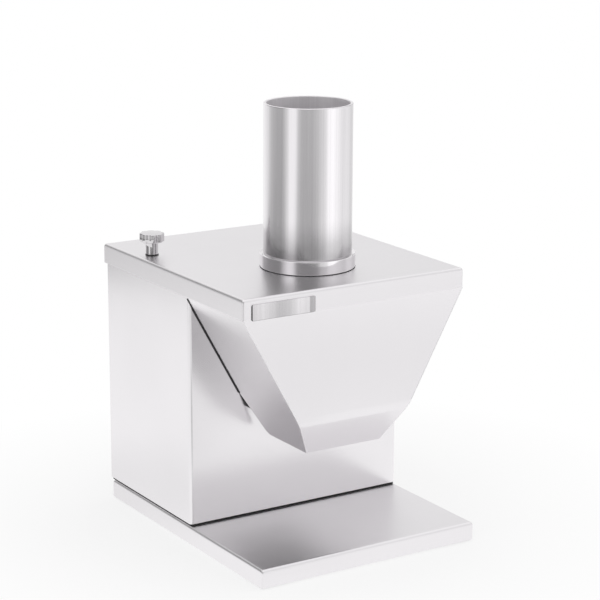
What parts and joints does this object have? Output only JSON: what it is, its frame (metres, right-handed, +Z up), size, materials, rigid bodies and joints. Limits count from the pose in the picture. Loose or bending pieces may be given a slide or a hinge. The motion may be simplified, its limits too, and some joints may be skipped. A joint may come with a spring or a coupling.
{
  "type": "sausage slicer",
  "caption": "Tabletop motor-driven slicer in folded stainless sheet: upright feed tube, lift-off cover with a tapering chute, and an open tray in front.",
  "frame": {"origin": "middle of the footprint on the worktop, under the feet", "axes": "+X to the machine's right seen from the front, +Y from the tray to the rear panel, +Z up along the feed tube"},
  "size_m": [0.2026, 0.249, 0.3511],
  "materials": {
    "brushed_stainless": "brushed stainless sheet, fine straight grain",
    "inner_stainless": "mill finish stainless sheet",
    "tube_stainless": "drawn stainless tube, satin with fine lengthwise grain",
    "polished_stainless": "turned and polished stainless steel",
    "name_plate_steel": "thin blank plate, finely brushed and lacquered",
    "knife_steel": "ground knife steel with a honed edge",
    "ground_steel": "ground shaft steel",
    "bearing_steel": "bearing rings with steel shields",
    "stainless_fastener": "plain stainless screws",
    "zinc_steel": "zinc plated steel",
    "cast_aluminium": "machined aluminium",
    "lamination_steel": "stacked laminations",
    "winding_copper": "enamelled copper windings",
    "motor_paint": "dark grey enamel",
    "black_rubber": "soft black rubber",
    "belt_rubber": "reinforced flat belt",
    "black_plastic": "fine textured black plastic",
    "white_plastic": "off-white plastic",
    "green_plastic": "green push button",
    "red_plastic": "red push button",
    "wire_insulation": "sheathed leads"
  },
  "bodies": {
    "housing": {"base_tray": "brushed_stainless", "foot_nuts": "zinc_steel", "rubber_feet": "black_rubber", "foot_screws": "zinc_steel", "housing_shell": "brushed_stainless", "rear_panel": "brushed_stainless", "rear_panel_screws": "stainless_fastener", "housing_gasket": "black_rubber", "base_screws": "zinc_steel", "hex_nuts": "zinc_steel", "deck_ledges": "inner_stainless", "deck_plate": "inner_stainless", "deck_screws": "stainless_fastener", "cover_posts": "polished_stainless", "bearing_housing": "cast_aluminium", "bearing_screws": "stainless_fastener", "spindle_bearings": "bearing_steel", "spindle_seal": "black_rubber", "drive_plate": "inner_stainless", "drive_pillars": "zinc_steel", "motor_can": "motor_paint", "motor_top_bell": "cast_aluminium", "motor_bottom_bell": "cast_aluminium", "motor_bearings": "bearing_steel", "motor_screws": "zinc_steel", "stator_core": "lamination_steel", "motor_windings": "winding_copper", "drive_belt": "belt_rubber", "run_capacitor": "white_plastic", "capacitor_clip": "zinc_steel", "terminal_block": "white_plastic", "power_inlet": "black_plastic", "inlet_screws": "stainless_fastener", "switch_bezel": "black_plastic", "switch_block": "black_plastic", "cover_sensor": "black_plastic", "wiring_leads": "wire_insulation"},
    "cover": {"lid_plate": "brushed_stainless", "chute_front": "brushed_stainless", "chute_left": "brushed_stainless", "chute_right": "brushed_stainless", "feed_tube": "tube_stainless", "tube_collar": "polished_stainless", "name_plate": "name_plate_steel", "cover_magnet": "black_plastic"},
    "knife": {"spindle": "ground_steel", "spindle_pulley": "cast_aluminium", "knife_hub": "polished_stainless", "knife_blade": "knife_steel", "knife_screw": "polished_stainless"},
    "rotor": {"rotor_shaft": "ground_steel", "rotor_core": "lamination_steel", "motor_pulley": "cast_aluminium", "cooling_fan": "black_plastic"},
    "start_push": {"start_button": "green_plastic"},
    "stop_push": {"stop_button": "red_plastic"},
    "left_washer": {"thumb_washer_left": "black_plastic"},
    "left_screw": {"thumb_screw_left": "polished_stainless"},
    "right_washer": {"thumb_washer_right": "black_plastic"},
    "right_screw": {"thumb_screw_right": "polished_stainless"}
  },
  "joints": [
    {"name": "cover_lift", "type": "slide", "parent": "housing", "child": "cover", "axis": [0, 0, 1], "range_m": [0, 0.15]},
    {"name": "rotor_spin", "type": "hinge", "parent": "housing", "child": "rotor", "pos_m": [0, 0.0745, 0.1], "axis": [0, 0, 1], "continuous": true},
    {"name": "knife_spin", "type": "hinge", "parent": "housing", "child": "knife", "pos_m": [0, 0.0245, 0.18], "axis": [0, 0, 1], "continuous": true},
    {"name": "start_press", "type": "slide", "parent": "housing", "child": "start_push", "axis": [-1, 0, 0], "range_m": [0, 0.003], "stiffness_N_per_m": 700, "springref_m": -0.001},
    {"name": "stop_press", "type": "slide", "parent": "housing", "child": "stop_push", "axis": [-1, 0, 0], "range_m": [0, 0.003], "stiffness_N_per_m": 700, "springref_m": -0.001},
    {"name": "left_screw_rise", "type": "slide", "parent": "cover", "child": "left_washer", "axis": [0, 0, 1], "range_m": [0, 0.008]},
    {"name": "left_screw_turn", "type": "hinge", "parent": "left_washer", "child": "left_screw", "pos_m": [-0.087, 0.0665, 0.23], "axis": [0, 0, 1], "range_deg": [0, 2916]},
    {"name": "right_screw_rise", "type": "slide", "parent": "cover", "child": "right_washer", "axis": [0, 0, 1], "range_m": [0, 0.008]},
    {"name": "right_screw_turn", "type": "hinge", "parent": "right_washer", "child": "right_screw", "pos_m": [0.087, 0.0665, 0.23], "axis": [0, 0, 1], "range_deg": [0, 2916]}
  ],
  "couplings": [
    {"joint": "knife_spin", "follows": "rotor_spin", "ratio": 0.33333},
    {"joint": "left_screw_turn", "follows": "left_screw_rise", "rad_per_m": 6283.2},
    {"joint": "right_screw_turn", "follows": "right_screw_rise", "rad_per_m": 6283.2}
  ]
}
